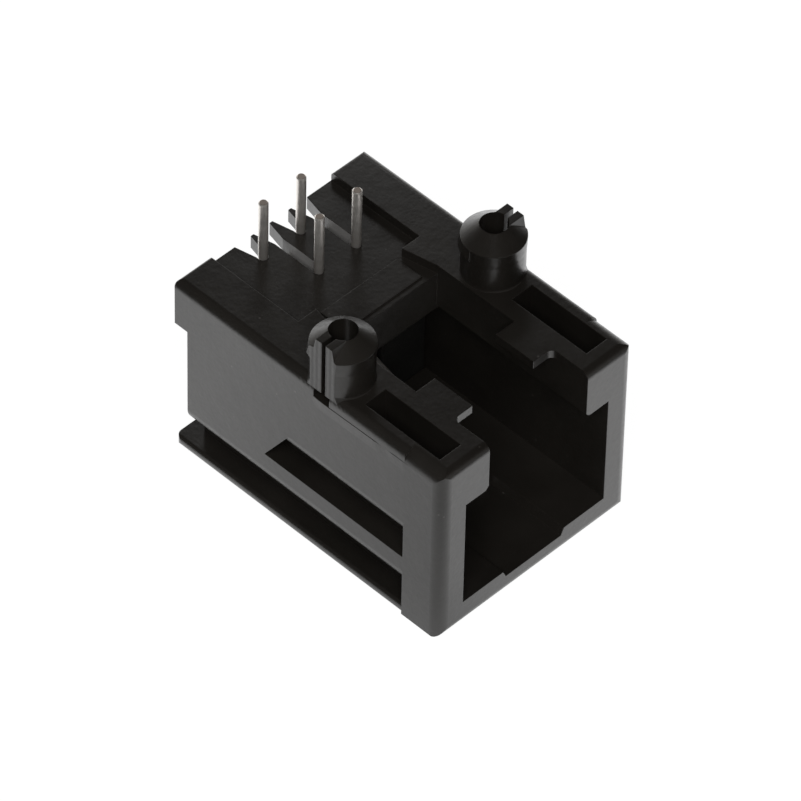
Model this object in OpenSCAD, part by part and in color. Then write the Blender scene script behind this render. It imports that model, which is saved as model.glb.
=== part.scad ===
// Modular jack, six positions and four contacts, side entry, board pegs up.
// Millimetres. The plug opening faces -Y, the board side is +Z, the bottom lies on Z = 0.

/* [Plug opening] */
// Width of the opening for the plug
port_w = 9.7; // [9.2:0.05:10.6]
// Height of the opening, sill to shoulder
port_h = 6.85; // [6.5:0.05:7.6]
// Depth of the plug space, front face to the insert
port_d = 12.2; // [11.8:0.1:12.6]
// Height of the sill above the bottom
sill_h = 1.6; // [1.45:0.05:2.2]
// Width of the latch slot above the shoulders
latch_w = 6.65; // [6:0.05:7]
// Depth of the latch slot, front face to its rear edge
latch_d = 10.1; // [9.4:0.1:10.8]
// Chamfer under each shoulder
shoulder_c = 0.2; // [0.05:0.05:0.4]
// Width of the notch in the sill at its top
notch_w = 4.2; // [3.9:0.05:4.8]
// Depth of the notch in the sill
notch_h = 0.42; // [0.2:0.02:0.5]
// Inward lean of each side of the notch
notch_lean = 0.2; // [0.05:0.05:0.3]

/* [Housing] */
// Thickness of each side wall
wall_t = 1.65; // [1.5:0.05:2.4]
// Height of the shoulders, opening to seating face
shoulder_h = 2.95; // [2.7:0.05:4]
// Thickness of the bottom plate
plate_t = 0.67; // [0.55:0.02:0.8]
// Length of the front frame ahead of the side grooves
rim_l = 2.5; // [1.5:0.1:3.5]
// Wall left behind the side grooves
groove_skin = 0.5; // [0.35:0.05:0.8]
// Height of each groove behind its mouth
groove_h = 1.45; // [1:0.05:1.6]
// Radius of the wall's edge over each groove
mouth_r = 1; // [0.5:0.05:1.1]
// Height of the flat band between the two grooves
band_h = 0.96; // [0.6:0.02:1.2]
// Length of the upper groove
groove_l = 9.4; // [6:0.1:12]
// Lean of the upper groove's rear end
groove_lean = 34; // [0:1:40]
// Reach of the board-side wall and the bottom plate behind the side walls
lip_l = 0.9; // [0.4:0.05:1]
// Height of the board-side wall at the sides
lip_h = 2.85; // [2.2:0.05:3.4]
// Radius on the upper long edges
edge_r = 0.5; // [0.2:0.05:0.7]
// Radius on the upper long edges of the front frame
rim_r = 0.75; // [0.5:0.05:0.8]
// Radius under the bottom plate's long edges
foot_r = 0.4; // [0.1:0.05:0.45]
// Radius on top of the bottom plate's long edges
brim_r = 0.2; // [0.05:0.05:0.25]
// Radius under the front frame's long edges
base_r = 0.05; // [0.02:0.01:0.2]
// Radius on the upright front corners
corner_r = 0.65; // [0.2:0.05:0.9]
// Radius on the upright rear corners of the board-side wall
slab_r = 0.05; // [0.05:0.05:0.6]
// Radius on the rear corners of the bottom plate
rear_r = 0.45; // [0.15:0.05:0.6]
// Radius along the top of the front face
front_r = 0.45; // [0.2:0.05:0.6]
// Radius along the bottom of the front face
chin_r = 0.6; // [0.2:0.05:0.7]
// Radius along the top of the rear face
lip_r = 0.2; // [0.1:0.05:0.4]

/* [Board side] */
// Height of the rails above the deck
rail_h = 0.55; // [0.3:0.05:0.8]
// Width of each rail beside the comb
rail_w = 2.4; // [1.8:0.05:2.8]
// Half width of the deck where the rails widen
deck_half = 2.9; // [2.6:0.05:3.2]
// Distance from the latch slot to the step where the rails widen
step_l = 2; // [1:0.1:2.4]
// Thickness of the deck
deck_t = 0.8; // [0.6:0.05:1]
// Height of the bare panel on the deck
panel_h = 0.08; // [0.04:0.02:0.2]
// Width of the bare panel on the deck
panel_w = 5.2; // [4:0.1:5.4]
// Margin between the latch slot and the bare panel
panel_gap = 0.3; // [0.2:0.05:0.6]
// Rib between each pocket and the latch slot
rib_t = 0.93; // [0.7:0.02:1.1]
// Wall outside each pocket
pocket_wall = 0.85; // [0.7:0.05:1.1]
// Front wall of each pocket
pocket_y = 1.03; // [0.8:0.01:1.5]
// Length of each pocket
pocket_l = 5; // [3:0.1:5.2]
// Depth of each pocket
pocket_h = 2.2; // [1:0.1:2.3]
// Reach of each latch stop into the slot
stop_w = 1.26; // [0.8:0.02:1.5]
// Front of each latch stop
stop_y = 2.42; // [1.5:0.02:3]
// Length of each latch stop
stop_l = 2.5; // [2:0.05:4]
// Thickness of each latch stop
stop_t = 0.5; // [0.35:0.05:0.9]
// Radius where the front of each stop meets its rib
stop_r = 0.35; // [0.1:0.05:0.5]

/* [Board pegs] */
// Distance between the two pegs
peg_gap = 10.16; // [9.9:0.02:10.4]
// Distance of the pegs from the front face
peg_y = 8.1; // [7.9:0.05:8.3]
// Diameter of each peg's shank
peg_dia = 3.2; // [3:0.05:3.3]
// Length of each shank, seating face to barb
shank_l = 1.55; // [1.4:0.05:2.2]
// Swell of the foot of each shank
root_w = 0.1; // [0.04:0.01:0.2]
// Height of the swollen foot above the seating face
root_h = 0.1; // [0.06:0.01:0.2]
// Swell of the barb low on each peg's rear half
barb_out = 0.14; // [0.08:0.01:0.2]
// Swell of the whole peg at the foot of its cone
lead_out = 0.04; // [0.02:0.01:0.06]
// Height of the barb's lower ramp
ramp_h = 0.25; // [0.15:0.05:0.5]
// Height of the barb
barb_h = 0.58; // [0.4:0.01:0.8]
// Height of the cone above the barb
cone_h = 0.75; // [0.4:0.05:0.8]
// Width over the level horns beside each peg's slit
horn_w = 1.1; // [1:0.02:1.3]
// Width over the horns at their foot
horn_foot = 1.4; // [1.2:0.05:1.6]
// Rise of the horns above the cone
horn_h = 0.01; // [0.01:0.01:0.1]
// Diameter of the bore in each peg
peg_bore = 1.45; // [1.1:0.05:1.7]
// Depth of the bore below the seating face
bore_drop = 1; // [0.6:0.1:1.4]
// Inset of each peg's flat from the side wall
flat_in = 0.05; // [0.02:0.01:0.2]
// Width of the slit in each peg
slit_w = 0.27; // [0.15:0.01:0.45]
// Offset of each slit and its horns toward the front
slit_off = 0.07; // [0:0.01:0.1]
// Length of the relief under each slit
relief_l = 1.06; // [0.7:0.02:1.4]
// Depth of the relief into the side wall
relief_in = 0.5; // [0.3:0.05:0.6]
// Lower edge of the relief below the seating face
relief_low = 0.78; // [0.6:0.02:1]
// Upper edge of the relief below the seating face
relief_top = 0.26; // [0.15:0.01:0.35]

/* [Contacts] */
// Diameter of the contact wire
wire_d = 0.46; // [0.4:0.01:0.48]
// Thickness of the solder coat on the tails
tail_coat = 0.02; // [0.01:0.01:0.04]
// Gap between the deck and the full thickness of the solder coat
coat_gap = 0.1; // [0.06:0.01:0.2]
// Pitch of the solder tails across the jack
tail_pitch = 1.27; // [1.25:0.01:1.3]
// Distance from the pegs to the front row of tails
row_y = 6.1; // [6:0.05:6.4]
// Distance between the two rows of tails
row_gap = 2.54; // [2.5:0.02:2.6]
// Distance from the rear row of tails to the rear edge
rear_margin = 1.41; // [1.3:0.01:1.6]
// Length of the tails above the seating face
tail_l = 3.18; // [2.6:0.02:4]
// Chamfer at the end of each tail
tip_c = 0.07; // [0.03:0.01:0.12]
// Pitch of the contact springs
spring_pitch = 1.02; // [1:0.01:1.04]
// Bend radius of the wire at its middle
bend_r = 0.45; // [0.4:0.01:0.5]
// Rise of the contact springs from the floor
spring_tilt = 19; // [17:0.5:22]
// Distance from the front face to the springs' front bend
nose_y = 5; // [4.6:0.1:5.4]
// Length of the springs' ends inside the insert
spring_in = 0.8; // [0.5:0.05:0.9]
// Slant of the jog that closes the wires up behind the insert
jog_tilt = 20; // [15:1:30]

/* [Comb and insert] */
// Width of the lead-in flare on each side of a slot
flare_w = 0.27; // [0.1:0.01:0.3]
// Length of the lead-in flare
flare_l = 1.2; // [0.6:0.05:1.25]
// Depth of the insert's front slots for the springs
comb_d = 1.2; // [1.1:0.05:1.6]
// Height of the insert's front slots above and below the springs
comb_h = 1.6; // [0.8:0.1:2]
// Chamfer on the insert's upright rear edges
insert_c = 0.3; // [0.1:0.05:0.5]

/* [Clearances] */
// Gap between the insert and the housing
insert_gap = 0.05; // [0.02:0.01:0.1]
// Gap around a wire in a groove or channel
wire_gap = 0.04; // [0.02:0.01:0.06]
// Extra room beside and behind a wire in the insert's grooves
groove_ease = 0.02; // [0.01:0.01:0.03]
// Gap on each side of a tail in the comb
slot_gap = 0.02; // [0.01:0.01:0.04]

/* [Hidden] */
$fn = 48;
// Overrun that carries each cut past the faces it opens
over = 1;
wire_r = wire_d / 2;
tail_r = wire_r + tail_coat;
body_w = port_w + 2 * wall_t;
body_h = sill_h + port_h + shoulder_h;
row_front = peg_y + row_y;
row_rear = row_front + row_gap;
body_d = row_rear + rear_margin;
half_w = body_w / 2;
port_top = sill_h + port_h;
wall_y = body_d - lip_l;
lip_z = body_h - lip_h;
groove_d = wall_t - groove_skin;
groove_z = plate_t + groove_h + mouth_r + band_h;
deck_z = body_h - rail_h;
bay_top = deck_z - deck_t;
step_y = latch_d + step_l;
peg_x = peg_gap / 2;
peg_r = peg_dia / 2;
barb_z = body_h + shank_l + ramp_h;
peg_top = barb_z + barb_h + cone_h;
slot_w = 2 * (tail_r + slot_gap);
channel_w = wire_d + 2 * wire_gap;
floor_z = sill_h - notch_h;
run_low = plate_t + wire_gap + wire_r;
run_high = bay_top - wire_gap - wire_r;
// Height at which the solder coat starts to grow
coat_z = run_high + bend_r;
insert_w = port_w - 2 * insert_gap;
insert_y = port_d + insert_gap;
insert_rear = row_rear + wire_r + wire_gap;
insert_z = plate_t + insert_gap;
insert_top = bay_top - insert_gap;
spring_y = insert_y + spring_in;
// Point ahead of the front bend where the floor run and the spring would meet
apex_y = nose_y + bend_r - bend_r / tan(spring_tilt / 2);
spring_z = run_low + (spring_y - apex_y) * tan(spring_tilt);
// Height of the jog that closes the wires up from the tail pitch to the spring pitch
jog_z = (insert_z + insert_top) / 2;
// Swell of each bend over the straights, and the length by which they run into it
weld_r = 0.004;
weld_l = 0.03;
// Row of each contact's tail, left to right: true is the front row
contact_row = [false, true, false, true];

function unit(v) = v / norm(v);
function place(i, pitch) = (i - 1.5) * pitch;
function wire_x(i) = place(i, spring_pitch);
function tail_x(i) = place(i, tail_pitch);
function tail_row(i) = contact_row[i] ? row_front : row_rear;
function jog_half(i) = abs(tail_x(i) - wire_x(i)) / tan(jog_tilt) / 2;

// Corner points of one contact, tail end first
function path(i) = concat(
    [[tail_x(i), tail_row(i), coat_z]],
    contact_row[i] ? [[tail_x(i), row_front, run_high], [tail_x(i), row_rear, run_high]] : [],
    [
        [tail_x(i), row_rear, jog_z + jog_half(i)],
        [wire_x(i), row_rear, jog_z - jog_half(i)],
        [wire_x(i), row_rear, run_low],
        [wire_x(i), apex_y, run_low],
        [wire_x(i), spring_y, spring_z]
    ]
);

// Moves parts measured from the front face so that the jack is centred
module from_front() {
    translate([0, -body_d / 2, 0])
        children();
}

// Outline in X and Z, drawn from one Y to another
module along_y(y0, y1) {
    translate([0, y1, 0])
        rotate([90, 0, 0])
            linear_extrude(y1 - y0)
                children();
}

// Outline in Y and Z, drawn from one X to another
module along_x(x0, x1) {
    translate([x0, 0, 0])
        rotate([90, 0, 90])
            linear_extrude(x1 - x0)
                children();
}

// Both sides of the jack
module both_sides() {
    children();
    mirror([1, 0, 0])
        children();
}

// Box between two corners
module box(a, b) {
    translate(a)
        cube(b - a);
}

// Cut that rounds one corner of an outline, turned by quarter turns
module corner(p, turn, r) {
    translate(p)
        rotate(90 * turn)
            difference() {
                translate([-over, -over])
                    square(over + r);
                translate([r, r])
                    circle(r);
            }
}

// Jack seen from the front, without its openings
module front_outline() {
    difference() {
        translate([-half_w, 0])
            square([body_w, body_h]);
        corner([-half_w, 0], 0, base_r);
        corner([half_w, 0], 1, base_r);
        corner([half_w, body_h], 2, edge_r);
        corner([-half_w, body_h], 3, edge_r);
    }
}

// Jack seen from the side, with the rear lip and the bottom plate
module side_outline() {
    difference() {
        union() {
            square([wall_y, body_h]);
            translate([peg_y, lip_z])
                square([body_d - peg_y, lip_h]);
            translate([peg_y, 0])
                square([body_d - peg_y, plate_t]);
        }
        corner([0, 0], 0, chin_r);
        corner([body_d, body_h], 2, lip_r);
        corner([0, body_h], 3, front_r);
    }
}

// Jack seen from above
module plan_outline() {
    difference() {
        translate([-half_w, 0])
            square([body_w, body_d]);
        corner([-half_w, 0], 0, corner_r);
        corner([half_w, 0], 1, corner_r);
        corner([half_w, body_d], 2, slab_r);
        corner([-half_w, body_d], 3, slab_r);
    }
}

// Block that all of the housing's openings are cut from
module outer_block() {
    intersection() {
        along_y(-over, body_d + over)
            front_outline();
        along_x(-half_w - over, half_w + over)
            side_outline();
        translate([0, 0, -over])
            linear_extrude(body_h + 2 * over)
                plan_outline();
    }
}

// Groove in the left wall, under a rounded edge
module side_groove(floor_at, y0, y1) {
    along_y(y0, y1) {
        translate([-half_w - over, floor_at])
            square([over + groove_d, groove_h]);
        corner([-half_w, floor_at + groove_h], 0, mouth_r);
    }
}

// Upper groove in the left wall, with its leaning rear end
module upper_groove() {
    rise = groove_h + mouth_r + over;
    intersection() {
        side_groove(groove_z, rim_l, rim_l + groove_l);
        along_x(-half_w - 2 * over, 0)
            polygon([
                [0, groove_z - over],
                [rim_l + groove_l + over * tan(groove_lean), groove_z - over],
                [rim_l + groove_l - rise * tan(groove_lean), groove_z + rise],
                [0, groove_z + rise]
            ]);
    }
}

// Rounded edges that differ between the front frame and the rest, on the left
module long_edges() {
    along_y(-over, rim_l)
        corner([-half_w, body_h], 3, rim_r);
    translate([0, 0, -over])
        linear_extrude(over + plate_t + groove_h)
            corner([-half_w, body_d], 3, rear_r);
    along_y(rim_l, body_d + over) {
        corner([-half_w, 0], 0, foot_r);
        intersection() {
            corner([-half_w, plate_t], 3, brim_r);
            translate([-half_w - over, 0])
                square([over + groove_d, plate_t + groove_h]);
        }
    }
}

// Plug opening with the latch slot and the notched sill
module port() {
    along_y(-over, port_d + over)
        translate([-port_w / 2, sill_h])
            square([port_w, port_h]);
    along_y(-over, latch_d)
        polygon([
            [-latch_w / 2 - shoulder_c, port_top - over],
            [latch_w / 2 + shoulder_c, port_top - over],
            [latch_w / 2 + shoulder_c, port_top],
            [latch_w / 2, port_top + shoulder_c],
            [latch_w / 2, body_h + over],
            [-latch_w / 2, body_h + over],
            [-latch_w / 2, port_top + shoulder_c],
            [-latch_w / 2 - shoulder_c, port_top]
        ]);
    along_y(-over, port_d + over)
        polygon([
            [-notch_w / 2 + notch_lean, floor_z],
            [notch_w / 2 - notch_lean, floor_z],
            [notch_w / 2, sill_h],
            [notch_w / 2, sill_h + over],
            [-notch_w / 2, sill_h + over],
            [-notch_w / 2, sill_h]
        ]);
}

// Space behind the plug for the insert, and the channels for the wires
module insert_bay() {
    box([-port_w / 2, port_d, plate_t], [port_w / 2, body_d + over, bay_top]);
    for (i = [0 : 3])
        translate([wire_x(i) - channel_w / 2, nose_y - wire_r - wire_gap, plate_t])
            cube([channel_w, port_d + over - nose_y, sill_h + over - plate_t]);
}

// Sunk deck between the rails
module deck_cut() {
    translate([0, 0, deck_z])
        linear_extrude(rail_h + over)
            polygon([
                [-half_w + rail_w, body_d + over],
                [-half_w + rail_w, step_y],
                [-deck_half, step_y],
                [-latch_w / 2, latch_d],
                [-latch_w / 2, latch_d - over],
                [latch_w / 2, latch_d - over],
                [latch_w / 2, latch_d],
                [deck_half, step_y],
                [half_w - rail_w, step_y],
                [half_w - rail_w, body_d + over]
            ]);
}

// Slot in the deck that one tail slides into from the rear
module tail_slot(i) {
    translate([tail_x(i), 0, bay_top - over])
        linear_extrude(deck_t + 2 * over) {
            translate([0, tail_row(i)])
                circle(slot_w / 2);
            translate([-slot_w / 2, tail_row(i)])
                square([slot_w, body_d + over - tail_row(i)]);
            polygon([
                [-slot_w / 2, body_d - flare_l],
                [slot_w / 2, body_d - flare_l],
                [slot_w / 2 + flare_w, body_d],
                [slot_w / 2 + flare_w, body_d + over],
                [-slot_w / 2 - flare_w, body_d + over],
                [-slot_w / 2 - flare_w, body_d]
            ]);
        }
}

// Cored pocket in the right rail
module pocket() {
    box(
        [latch_w / 2 + rib_t, pocket_y, body_h - pocket_h],
        [half_w - pocket_wall, pocket_y + pocket_l, body_h + over]
    );
}

// Right latch stop, blended into its rib at the front
module latch_stop() {
    translate([latch_w / 2, stop_y, body_h - stop_t])
        linear_extrude(stop_t) {
            translate([-stop_w, 0])
                square([stop_w + rib_t / 2, stop_l]);
            difference() {
                translate([-stop_r, -stop_r])
                    square([stop_r + rib_t / 2, stop_r + stop_l / 2]);
                translate([-stop_r, -stop_r])
                    circle(stop_r);
            }
        }
}

// Turned shape of a peg whose barb swells by a given amount
module peg_turned(barb) {
    rotate_extrude()
        polygon([
            [0, body_h - relief_top],
            [peg_r + root_w, body_h - relief_top],
            [peg_r, body_h + root_h],
            [peg_r, body_h + shank_l],
            [peg_r + barb, barb_z],
            [peg_r + lead_out, barb_z + barb_h],
            [peg_bore / 2, peg_top],
            [0, peg_top]
        ]);
}

// Right board peg before its bore and slit
module peg() {
    reach = peg_dia + over;
    intersection() {
        translate([peg_x, peg_y, 0]) {
            intersection() {
                peg_turned(lead_out / 2);
                box([-reach, -reach, 0], [reach, 0, peg_top + over]);
            }
            intersection() {
                peg_turned(barb_out);
                box([-reach, 0, 0], [reach, reach, peg_top + over]);
            }
            intersection() {
                translate([0, -slit_off, 0])
                    along_x(0, reach)
                        polygon([
                            [-horn_foot / 2, barb_z + barb_h],
                            [horn_foot / 2, barb_z + barb_h],
                            [horn_w / 2, peg_top + horn_h],
                            [-horn_w / 2, peg_top + horn_h]
                        ]);
                cylinder(r = peg_r, h = peg_top + over);
            }
        }
        box([0, 0, 0], [half_w - flat_in, body_d, peg_top + over]);
    }
}

// Bore, slit and relief of the right peg
module peg_cut() {
    translate([peg_x, peg_y, body_h - bore_drop])
        cylinder(d = peg_bore, h = peg_top + bore_drop - body_h + over);
    box(
        [peg_x, peg_y - slit_off - slit_w / 2, body_h - relief_low],
        [half_w + over, peg_y - slit_off + slit_w / 2, peg_top + over]
    );
    box(
        [half_w - relief_in, peg_y - relief_l / 2, body_h - relief_low],
        [half_w + over, peg_y + relief_l / 2, body_h - relief_top]
    );
}

module housing() {
    color("#2b2a29")
        from_front()
            difference() {
                union() {
                    difference() {
                        outer_block();
                        both_sides() {
                            side_groove(plate_t, rim_l, body_d + over);
                            upper_groove();
                            long_edges();
                            pocket();
                        }
                        port();
                        insert_bay();
                        deck_cut();
                        for (i = [0 : 3])
                            tail_slot(i);
                    }
                    both_sides() {
                        latch_stop();
                        peg();
                    }
                    translate([-panel_w / 2, latch_d + panel_gap, deck_z - panel_h])
                        cube([panel_w, step_l - panel_gap, 2 * panel_h]);
                }
                both_sides()
                    peg_cut();
            }
}

// Grooves of the insert that one wire lies in
module wire_grooves(i) {
    side = wire_r + wire_gap + groove_ease;
    deep = row_rear - side;
    // Under the insert
    box(
        [wire_x(i) - side, insert_y - over, insert_z - over],
        [wire_x(i) + side, insert_rear + over, run_low + side]
    );
    // Down its rear face
    along_y(deep, insert_rear + over)
        polygon([
            [wire_x(i) - side, insert_z - over],
            [wire_x(i) + side, insert_z - over],
            [wire_x(i) + side, jog_z - jog_half(i)],
            [tail_x(i) + side, jog_z + jog_half(i)],
            [tail_x(i) + side, insert_top + over],
            [tail_x(i) - side, insert_top + over],
            [tail_x(i) - side, jog_z + jog_half(i)],
            [wire_x(i) - side, jog_z - jog_half(i)]
        ]);
    // Over its top, for a front-row tail
    if (contact_row[i])
        box(
            [tail_x(i) - side, row_front - side, run_high - side],
            [tail_x(i) + side, insert_rear + over, insert_top + over]
        );
    // Room inside the bends
    bends(path(i), wire_r + wire_gap);
    // Front slot for the end of the spring
    box(
        [wire_x(i) - side, insert_y - over, spring_z - comb_h],
        [wire_x(i) + side, insert_y + comb_d, spring_z + comb_h]
    );
}

module contact_insert() {
    chamfer = insert_c * sqrt(2);
    color("#343332")
        from_front()
            difference() {
                box([-insert_w / 2, insert_y, insert_z], [insert_w / 2, insert_rear, insert_top]);
                for (i = [0 : 3])
                    wire_grooves(i);
                for (s = [-1, 1])
                    translate([s * insert_w / 2, insert_rear, insert_z - over])
                        rotate(45)
                            translate([-chamfer / 2, -chamfer / 2, 0])
                                cube([chamfer, chamfer, insert_top - insert_z + 2 * over]);
            }
}

// Places a shape with its X, Y and Z along three given directions
module set_frame(x, y, z, at) {
    multmatrix([
        [x[0], y[0], z[0], at[0]],
        [x[1], y[1], z[1], at[1]],
        [x[2], y[2], z[2], at[2]],
        [0, 0, 0, 1]
    ])
        children();
}

// Straight length of wire
module rod(a, b, r) {
    z = unit(b - a);
    x = unit(cross(z, abs(z[0]) < 0.9 ? [1, 0, 0] : [0, 1, 0]));
    set_frame(x, cross(z, x), z, a)
        cylinder(r = r, h = norm(b - a));
}

// Length that a bend takes from the straight on each side of a corner
function taken(a, p, b) = bend_r * tan(acos(unit(p - a) * unit(b - p)) / 2);

// Bend of the wire at a corner between two straights
module elbow(a, p, b, r) {
    u = unit(p - a);
    v = unit(b - p);
    n = unit(v - u * (u * v));
    set_frame(-n, u, cross(-n, u), p - u * taken(a, p, b) + n * bend_r)
        rotate_extrude(angle = acos(u * v))
            translate([bend_r, 0])
                circle(r);
}

// All bends of one wire
module bends(pts, r) {
    for (k = [1 : len(pts) - 2])
        elbow(pts[k - 1], pts[k], pts[k + 1], r);
}

// One contact: straights, bends and the coated tail with its chamfered end
module contact(i) {
    pts = path(i);
    last = len(pts) - 1;
    full_z = deck_z + coat_gap;
    tip_z = body_h + tail_l - tip_c;
    color("#cfc9be")
        from_front() {
            bends(pts, wire_r + weld_r);
            for (k = [0 : last - 1]) {
                u = unit(pts[k + 1] - pts[k]);
                a = k == 0 ? -weld_l : taken(pts[k - 1], pts[k], pts[k + 1]) - weld_l;
                b = k == last - 1 ? 0 : taken(pts[k], pts[k + 1], pts[k + 2]) - weld_l;
                rod(pts[k] + u * a, pts[k + 1] - u * b, wire_r);
            }
            translate([tail_x(i), tail_row(i), 0]) {
                translate([0, 0, coat_z])
                    cylinder(r1 = wire_r, r2 = tail_r, h = full_z - coat_z);
                translate([0, 0, full_z])
                    cylinder(r = tail_r, h = tip_z - full_z);
                translate([0, 0, tip_z])
                    cylinder(r1 = tail_r, r2 = tail_r - tip_c, h = tip_c);
            }
        }
}

module contact_1() {
    contact(0);
}

module contact_2() {
    contact(1);
}

module contact_3() {
    contact(2);
}

module contact_4() {
    contact(3);
}

housing();
contact_insert();
contact_1();
contact_2();
contact_3();
contact_4();
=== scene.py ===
import math

import bpy
from mathutils import Matrix, Vector

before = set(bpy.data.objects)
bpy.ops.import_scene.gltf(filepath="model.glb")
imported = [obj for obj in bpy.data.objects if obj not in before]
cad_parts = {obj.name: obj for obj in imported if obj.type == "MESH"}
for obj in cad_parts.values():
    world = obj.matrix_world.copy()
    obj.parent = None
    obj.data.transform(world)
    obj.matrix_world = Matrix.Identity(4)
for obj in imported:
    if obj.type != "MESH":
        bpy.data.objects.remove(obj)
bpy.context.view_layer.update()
scene = bpy.context.scene
scene.view_settings.view_transform = "Standard"

MM = 0.001
# Range that most values of a noise lie in
NOISE_RANGE = (0.3, 0.7)
# Sockets of a colour mix node
MIX_SHARE, MIX_A, MIX_B, MIX_RESULT = 0, 6, 7, 2

# Colours of the part
HOUSING_DARK = (0.0085, 0.0074, 0.0062)
HOUSING_PALE = (0.0138, 0.0122, 0.0104)
INSERT_DARK = (0.007, 0.0068, 0.0065)
INSERT_PALE = (0.012, 0.0117, 0.011)
SPECK = (0.09, 0.085, 0.08)
# Pale colour painted on the comb's slot walls as a painted reflection
SLOT_PAINTED_SHEEN = (0.21, 0.205, 0.2)
TIN_DULL = (0.85, 0.815, 0.77)
TIN_CLEAN = (1, 0.96, 0.91)
# Painted shade at the foot of the wire
TIN_PAINTED_SHADE = (0.4, 0.37, 0.34)
CUT_END = (0.6, 0.52, 0.46)

# Colours of the studio
FLOOR_DARK = (0.86, 0.86, 0.86)
FLOOR_PALE = (0.9, 0.9, 0.9)
ROOM_DARK = (0.015, 0.014, 0.013)
ROOM_LEFT = (0.05, 0.048, 0.045)
ROOM_GLOW = (0.8, 0.78, 0.75)


# Millimetres turned into metres
def mm(*lengths):
    return tuple(length * MM for length in lengths)


# Camera at the photograph's viewing angle: lengths in millimetres, focal length and picture in pixels
def add_camera():
    azimuth, elevation, roll = (math.radians(v) for v in (-45.9945, 46.6561, 1.3635))
    target = Vector((0, -1.075, 7.05))
    distance = 396.687
    shift_right, shift_up = 0.8443, 0.7282
    focal, picture, sensor = 8241.757, 801, 36
    back = Vector((math.sin(azimuth) * math.cos(elevation),
                   -math.cos(azimuth) * math.cos(elevation),
                   math.sin(elevation)))
    right = Vector((math.cos(azimuth), math.sin(azimuth), 0))
    up = back.cross(right)
    x_axis = right * math.cos(roll) + up * math.sin(roll)
    y_axis = up * math.cos(roll) - right * math.sin(roll)
    place = target + back * distance - x_axis * shift_right - y_axis * shift_up
    data = bpy.data.cameras.new("camera")
    data.sensor_width = sensor
    data.lens = sensor * focal / picture
    data.clip_start = 0.01
    data.clip_end = 10
    camera = bpy.data.objects.new("camera", data)
    scene.collection.objects.link(camera)
    turn = Matrix((x_axis, y_axis, back)).transposed().to_4x4()
    camera.matrix_world = Matrix.Translation(place * MM) @ turn
    scene.camera = camera


# Short calls that build one node tree
class Nodes:
    def __init__(self, tree):
        self.tree = tree
        tree.nodes.clear()

    def add(self, kind, **values):
        node = self.tree.nodes.new(kind)
        for key, value in values.items():
            setattr(node, key, value)
        return node

    def link(self, output, socket):
        self.tree.links.new(output, socket)

    # A number or a colour is set on the socket, an output is linked to it
    def put(self, value, socket):
        if isinstance(value, (int, float)):
            socket.default_value = value
        elif isinstance(value, tuple):
            socket.default_value = (*value, 1)
        else:
            self.link(value, socket)

    def surface(self, output, kind="ShaderNodeOutputMaterial"):
        self.link(output, self.add(kind).inputs["Surface"])

    def coords(self, kind):
        return self.add("ShaderNodeTexCoord").outputs[kind]

    def split(self, vector):
        node = self.add("ShaderNodeSeparateXYZ")
        self.link(vector, node.inputs["Vector"])
        return node.outputs

    # Distance or dot product of a vector and a fixed one
    def measure(self, operation, vector, fixed):
        node = self.add("ShaderNodeVectorMath", operation=operation)
        self.link(vector, node.inputs[0])
        node.inputs[1].default_value = fixed
        return node.outputs["Value"]

    def maths(self, operation, a, b=0.0, clamp=False):
        node = self.add("ShaderNodeMath", operation=operation, use_clamp=clamp)
        self.put(a, node.inputs[0])
        self.put(b, node.inputs[1])
        return node.outputs[0]

    def times(self, first, *others):
        for other in others:
            first = self.maths("MULTIPLY", first, other)
        return first

    def plus(self, first, *others):
        for other in others:
            first = self.maths("ADD", first, other)
        return first

    def noise(self, vector, scale, detail=3):
        node = self.add("ShaderNodeTexNoise")
        node.inputs["Scale"].default_value = scale
        node.inputs["Detail"].default_value = detail
        self.link(vector, node.inputs["Vector"])
        return node.outputs["Fac"]

    # Turns one range of a value into another and holds it at the ends
    def spread(self, value, source, result):
        node = self.add("ShaderNodeMapRange")
        names = ("From Min", "From Max", "To Min", "To Max")
        for name, number in zip(names, (*source, *result)):
            node.inputs[name].default_value = number
        self.link(value, node.inputs["Value"])
        return node.outputs["Result"]

    # One inside a range, falling to nought over a soft margin outside it
    def within(self, value, span, soft):
        low, high = span
        rise = self.spread(value, (low - soft, low), (0, 1))
        fall = self.spread(value, (high, high + soft), (1, 0))
        return self.times(rise, fall)

    def blend(self, share, a, b):
        node = self.add("ShaderNodeMix", data_type="RGBA")
        self.put(share, node.inputs[MIX_SHARE])
        self.put(a, node.inputs[MIX_A])
        self.put(b, node.inputs[MIX_B])
        return node.outputs[MIX_RESULT]

    def bump(self, height, strength, distance):
        node = self.add("ShaderNodeBump")
        node.inputs["Strength"].default_value = strength
        node.inputs["Distance"].default_value = distance
        self.link(height, node.inputs["Height"])
        return node


def new_material(name):
    material = bpy.data.materials.new(name)
    material.use_nodes = True
    return material, Nodes(material.node_tree)


# Step at the mould's parting line, high on the left wall, with a break in it
def parting_step(n, at):
    half_step = 0.03 * MM
    fade = 0.6 * MM
    short_share = 0.5
    line = n.spread(at["Y"], mm(-6.7, -1.5), mm(10.69, 10.59))
    above = n.maths("SUBTRACT", at["Z"], line)
    edge = n.spread(above, (-half_step, half_step), (1, 0))
    decay = n.spread(above, (-fade, -half_step), (0, 1))
    long = n.within(at["Y"], mm(-4.4, -1), 0.6 * MM)
    short = n.within(at["Y"], mm(-6.4, -5.7), 0.4 * MM)
    stretch = n.plus(long, n.times(short, short_share))
    left = n.spread(at["X"], mm(-6.45, -6.35), (1, 0))
    return n.times(edge, decay, stretch, left)
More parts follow.
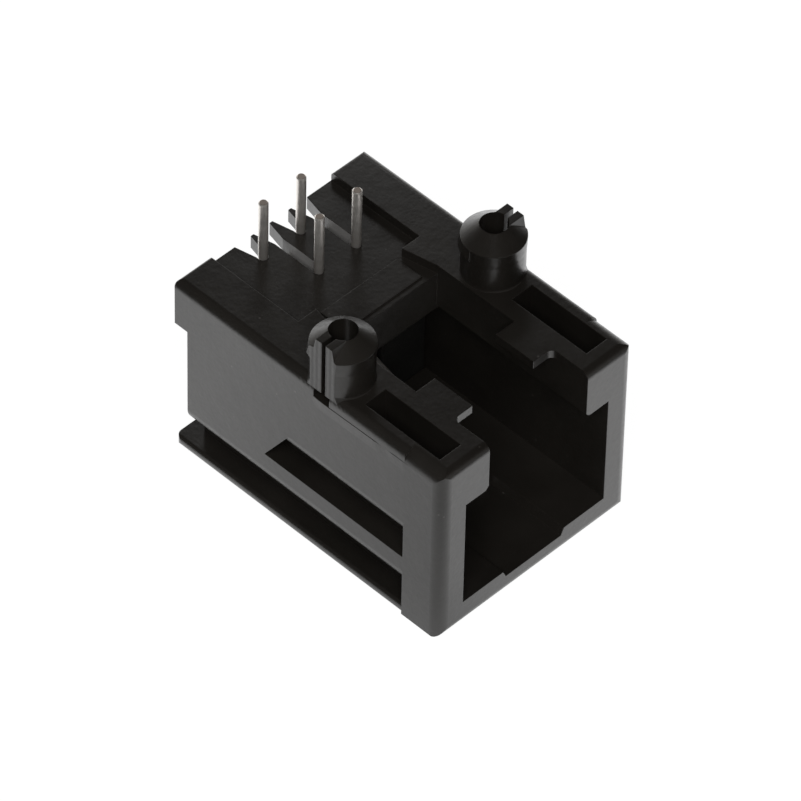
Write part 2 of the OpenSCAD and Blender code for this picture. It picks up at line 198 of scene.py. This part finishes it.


# Side walls of the comb's slots near the front tails, painted pale as a painted reflection of the
# bright floor
def painted_slot_sheen(n, at):
    facing = n.split(n.add("ShaderNodeNewGeometry").outputs["True Normal"])
    sideways = n.spread(n.maths("ABSOLUTE", facing["X"]), (0.6, 0.9), (0, 1))
    middle = n.within(at["X"], mm(-2.6, 2.6), 0.1 * MM)
    length = n.within(at["Y"], mm(4.8, 7.1), 0.5 * MM)
    depth = n.within(at["Z"], mm(10.05, 10.82), 0.05 * MM)
    return n.times(sideways, middle, length, depth)


# Flats of the left peg, which are rougher and finely ridged
def peg_flats(n, at):
    ridge_period = 0.3 * MM
    outer = n.spread(at["X"], mm(-6.44, -6.4), (1, 0))
    along = n.within(at["Y"], mm(-2.5, 0.55), 0.1 * MM)
    above = n.spread(at["Z"], mm(11, 11.1), (0, 1))
    mask = n.times(outer, along, above)
    wave = n.maths("SINE", n.times(at["Y"], 2 * math.pi / ridge_period))
    return mask, n.times(mask, wave)


# Marks that the housing alone carries, with a painted reflection on the slot walls
def mark(n, where, colour, height, rough):
    line_depth = 0.045 * MM
    ridge_height = 0.006 * MM
    flat_rough = 0.1
    at = n.split(where)
    # Painted reflection: the slot walls are blended towards a pale colour
    colour = n.blend(painted_slot_sheen(n, at), colour, SLOT_PAINTED_SHEEN)
    flats, ridges = peg_flats(n, at)
    height = n.plus(height, n.times(parting_step(n, at), line_depth), n.times(ridges, ridge_height))
    return colour, height, n.plus(rough, n.times(flats, flat_rough))


# Satin black moulded plastic with a fine grain, an uneven skin and a few pale specks
def plastic(name, dark, pale, rough_range, marked=False):
    grain_height = 0.006 * MM
    skin_height = 0.018 * MM
    edge_radius = 0.05 * MM
    speck_edge = (0.03, 0.05)
    speck_share = 0.5
    material, n = new_material(name)
    shader = n.add("ShaderNodeBsdfPrincipled")
    where = n.coords("Object")
    broad = n.noise(where, scale=260, detail=4)
    grain = n.noise(where, scale=4500)
    skin = n.noise(where, scale=900)
    cells = n.add("ShaderNodeTexVoronoi")
    cells.inputs["Scale"].default_value = 700
    n.link(where, cells.inputs["Vector"])
    speck = n.spread(cells.outputs["Distance"], speck_edge, (speck_share, 0))
    colour = n.blend(n.spread(broad, NOISE_RANGE, (0, 1)), dark, pale)
    colour = n.blend(speck, colour, SPECK)
    height = n.plus(n.times(grain, grain_height), n.times(skin, skin_height))
    rough = n.spread(grain, NOISE_RANGE, rough_range)
    if marked:
        colour, height, rough = mark(n, where, colour, height, rough)
    n.link(colour, shader.inputs["Base Color"])
    n.link(rough, shader.inputs["Roughness"])
    shader.inputs["IOR"].default_value = 1.8
    bevel = n.add("ShaderNodeBevel", samples=6)
    bevel.inputs["Radius"].default_value = edge_radius
    # Strength and distance of 1 leave the height in metres
    bump = n.bump(height, strength=1, distance=1)
    n.link(bevel.outputs["Normal"], bump.inputs["Normal"])
    n.link(bump.outputs["Normal"], shader.inputs["Normal"])
    n.surface(shader.outputs["BSDF"])
    return material


# Tinned wire, painted darker towards its foot as shade, and bare at its cut ends
def tinned(name):
    material, n = new_material(name)
    shader = n.add("ShaderNodeBsdfPrincipled")
    where = n.coords("Object")
    at = n.split(where)
    streak = n.noise(where, scale=2500)
    tin = n.blend(n.spread(streak, NOISE_RANGE, (0, 1)), TIN_DULL, TIN_CLEAN)
    # Painted shade: the tin darkens below 13 mm towards the foot
    tin = n.blend(n.spread(at["Z"], mm(11, 13), (0.45, 0)), tin, TIN_PAINTED_SHADE)
    tip = n.spread(at["Z"], mm(14.55, 14.57), (0, 1))
    n.link(n.blend(tip, tin, CUT_END), shader.inputs["Base Color"])
    shader.inputs["Metallic"].default_value = 0.86
    n.link(n.spread(streak, NOISE_RANGE, (0.32, 0.46)), shader.inputs["Roughness"])
    bump = n.bump(streak, strength=0.15, distance=0.02 * MM)
    n.link(bump.outputs["Normal"], shader.inputs["Normal"])
    n.surface(shader.outputs["BSDF"])
    return material


# How bright the part sees the floor: only close by, and brighter to the right and the rear
def mirrored_floor(n, where):
    middle = mm(10, 12, 0)
    slope_level = 0.93
    at = n.split(where)
    away = n.measure("DISTANCE", where, middle)
    near = n.spread(away, mm(34, 58), (1, 0.05))
    across = n.plus(n.spread(at["X"], mm(-9, -2), (0, 0.5)),
                    n.spread(at["X"], mm(-2, 10), (0, 0.16)))
    along = n.plus(n.spread(at["Y"], mm(-12, 5), (0.6, 0.93)),
                   n.spread(at["Y"], mm(5, 11), (0, 0.2)))
    slope = n.times(n.plus(across, along), slope_level)
    behind = n.times(n.spread(at["Y"], mm(12, 40), (0, 1.5)),
                     n.spread(at["X"], mm(-30, -8), (0, 1)))
    return n.maths("MAXIMUM", n.times(near, slope), behind)


# Pale floor that stays white in the picture and keeps a soft shadow
def add_floor():
    side = 3
    white = 1.07
    glow_share = 0.9
    corners = [(-side, -side, 0), (side, -side, 0), (side, side, 0), (-side, side, 0)]
    mesh = bpy.data.meshes.new("floor")
    mesh.from_pydata(corners, [], [(0, 1, 2, 3)])
    floor = bpy.data.objects.new("floor", mesh)
    scene.collection.objects.link(floor)
    material, n = new_material("floor")
    matt = n.add("ShaderNodeBsdfDiffuse")
    where = n.coords("Object")
    n.link(n.blend(n.noise(where, scale=40, detail=2), FLOOR_DARK, FLOOR_PALE), matt.inputs["Color"])
    path = n.add("ShaderNodeLightPath").outputs
    mirrored = n.maths("ADD", path["Is Glossy Ray"], path["Is Transmission Ray"], True)
    seen = n.maths("ADD", path["Is Camera Ray"], mirrored, True)
    level = n.plus(n.times(path["Is Camera Ray"], white), n.times(mirrored, mirrored_floor(n, where)))
    glow = n.add("ShaderNodeEmission")
    n.link(level, glow.inputs["Strength"])
    mix = n.add("ShaderNodeMixShader")
    n.link(n.times(seen, glow_share), mix.inputs["Fac"])
    n.link(matt.outputs["BSDF"], mix.inputs[1])
    n.link(glow.outputs["Emission"], mix.inputs[2])
    n.surface(mix.outputs["Shader"])
    floor.data.materials.append(material)


# Plain dim surroundings, a little paler at the left and paler low down behind and in front
def add_world():
    rear_right = (0.45, 0.89, 0)
    world = bpy.data.worlds.new("studio")
    world.use_nodes = True
    scene.world = world
    n = Nodes(world.node_tree)
    back = n.add("ShaderNodeBackground")
    where = n.coords("Generated")
    at = n.split(where)
    low = n.spread(at["Z"], (0, 0.58), (1, 0))
    behind = n.spread(n.measure("DOT_PRODUCT", where, rear_right), (0.3, 0.9), (0, 1))
    in_front = n.spread(at["Y"], (-0.5, -0.9), (0, 0.5))
    glow = n.times(low, n.maths("MAXIMUM", behind, in_front))
    dim = n.blend(n.spread(at["X"], (-0.05, 0.25), (1, 0)), ROOM_DARK, ROOM_LEFT)
    n.link(n.blend(glow, dim, ROOM_GLOW), back.inputs["Color"])
    n.surface(back.outputs["Background"], "ShaderNodeOutputWorld")


# Round area lamp that the camera doesn't see
def add_lamp(name, place, aim, size, power, mirrored):
    data = bpy.data.lights.new(name, "AREA")
    data.shape = "DISK"
    data.size = size
    data.energy = power
    lamp = bpy.data.objects.new(name, data)
    scene.collection.objects.link(lamp)
    lamp.location = place
    lamp.rotation_euler = (Vector(aim) - Vector(place)).to_track_quat("-Z", "Y").to_euler()
    lamp.visible_glossy = mirrored
    lamp.visible_camera = False


add_camera()
add_world()
add_floor()
add_lamp("key", place=(-0.42, -0.38, 0.65), aim=(0, 0, 0.006), size=0.5, power=6.2, mirrored=False)
add_lamp("back", place=(0.051, 0.055, 0.054), aim=(0.004, 0.004, 0.01), size=0.028, power=0.0017,
         mirrored=True)

wire = tinned("tinned_wire")
looks = {
    "housing": plastic("black_plastic", HOUSING_DARK, HOUSING_PALE, (0.29, 0.36), True),
    "contact_insert": plastic("insert_plastic", INSERT_DARK, INSERT_PALE, (0.35, 0.5)),
}
for name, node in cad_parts.items():
    node.data.materials.clear()
    node.data.materials.append(looks.get(name, wire))
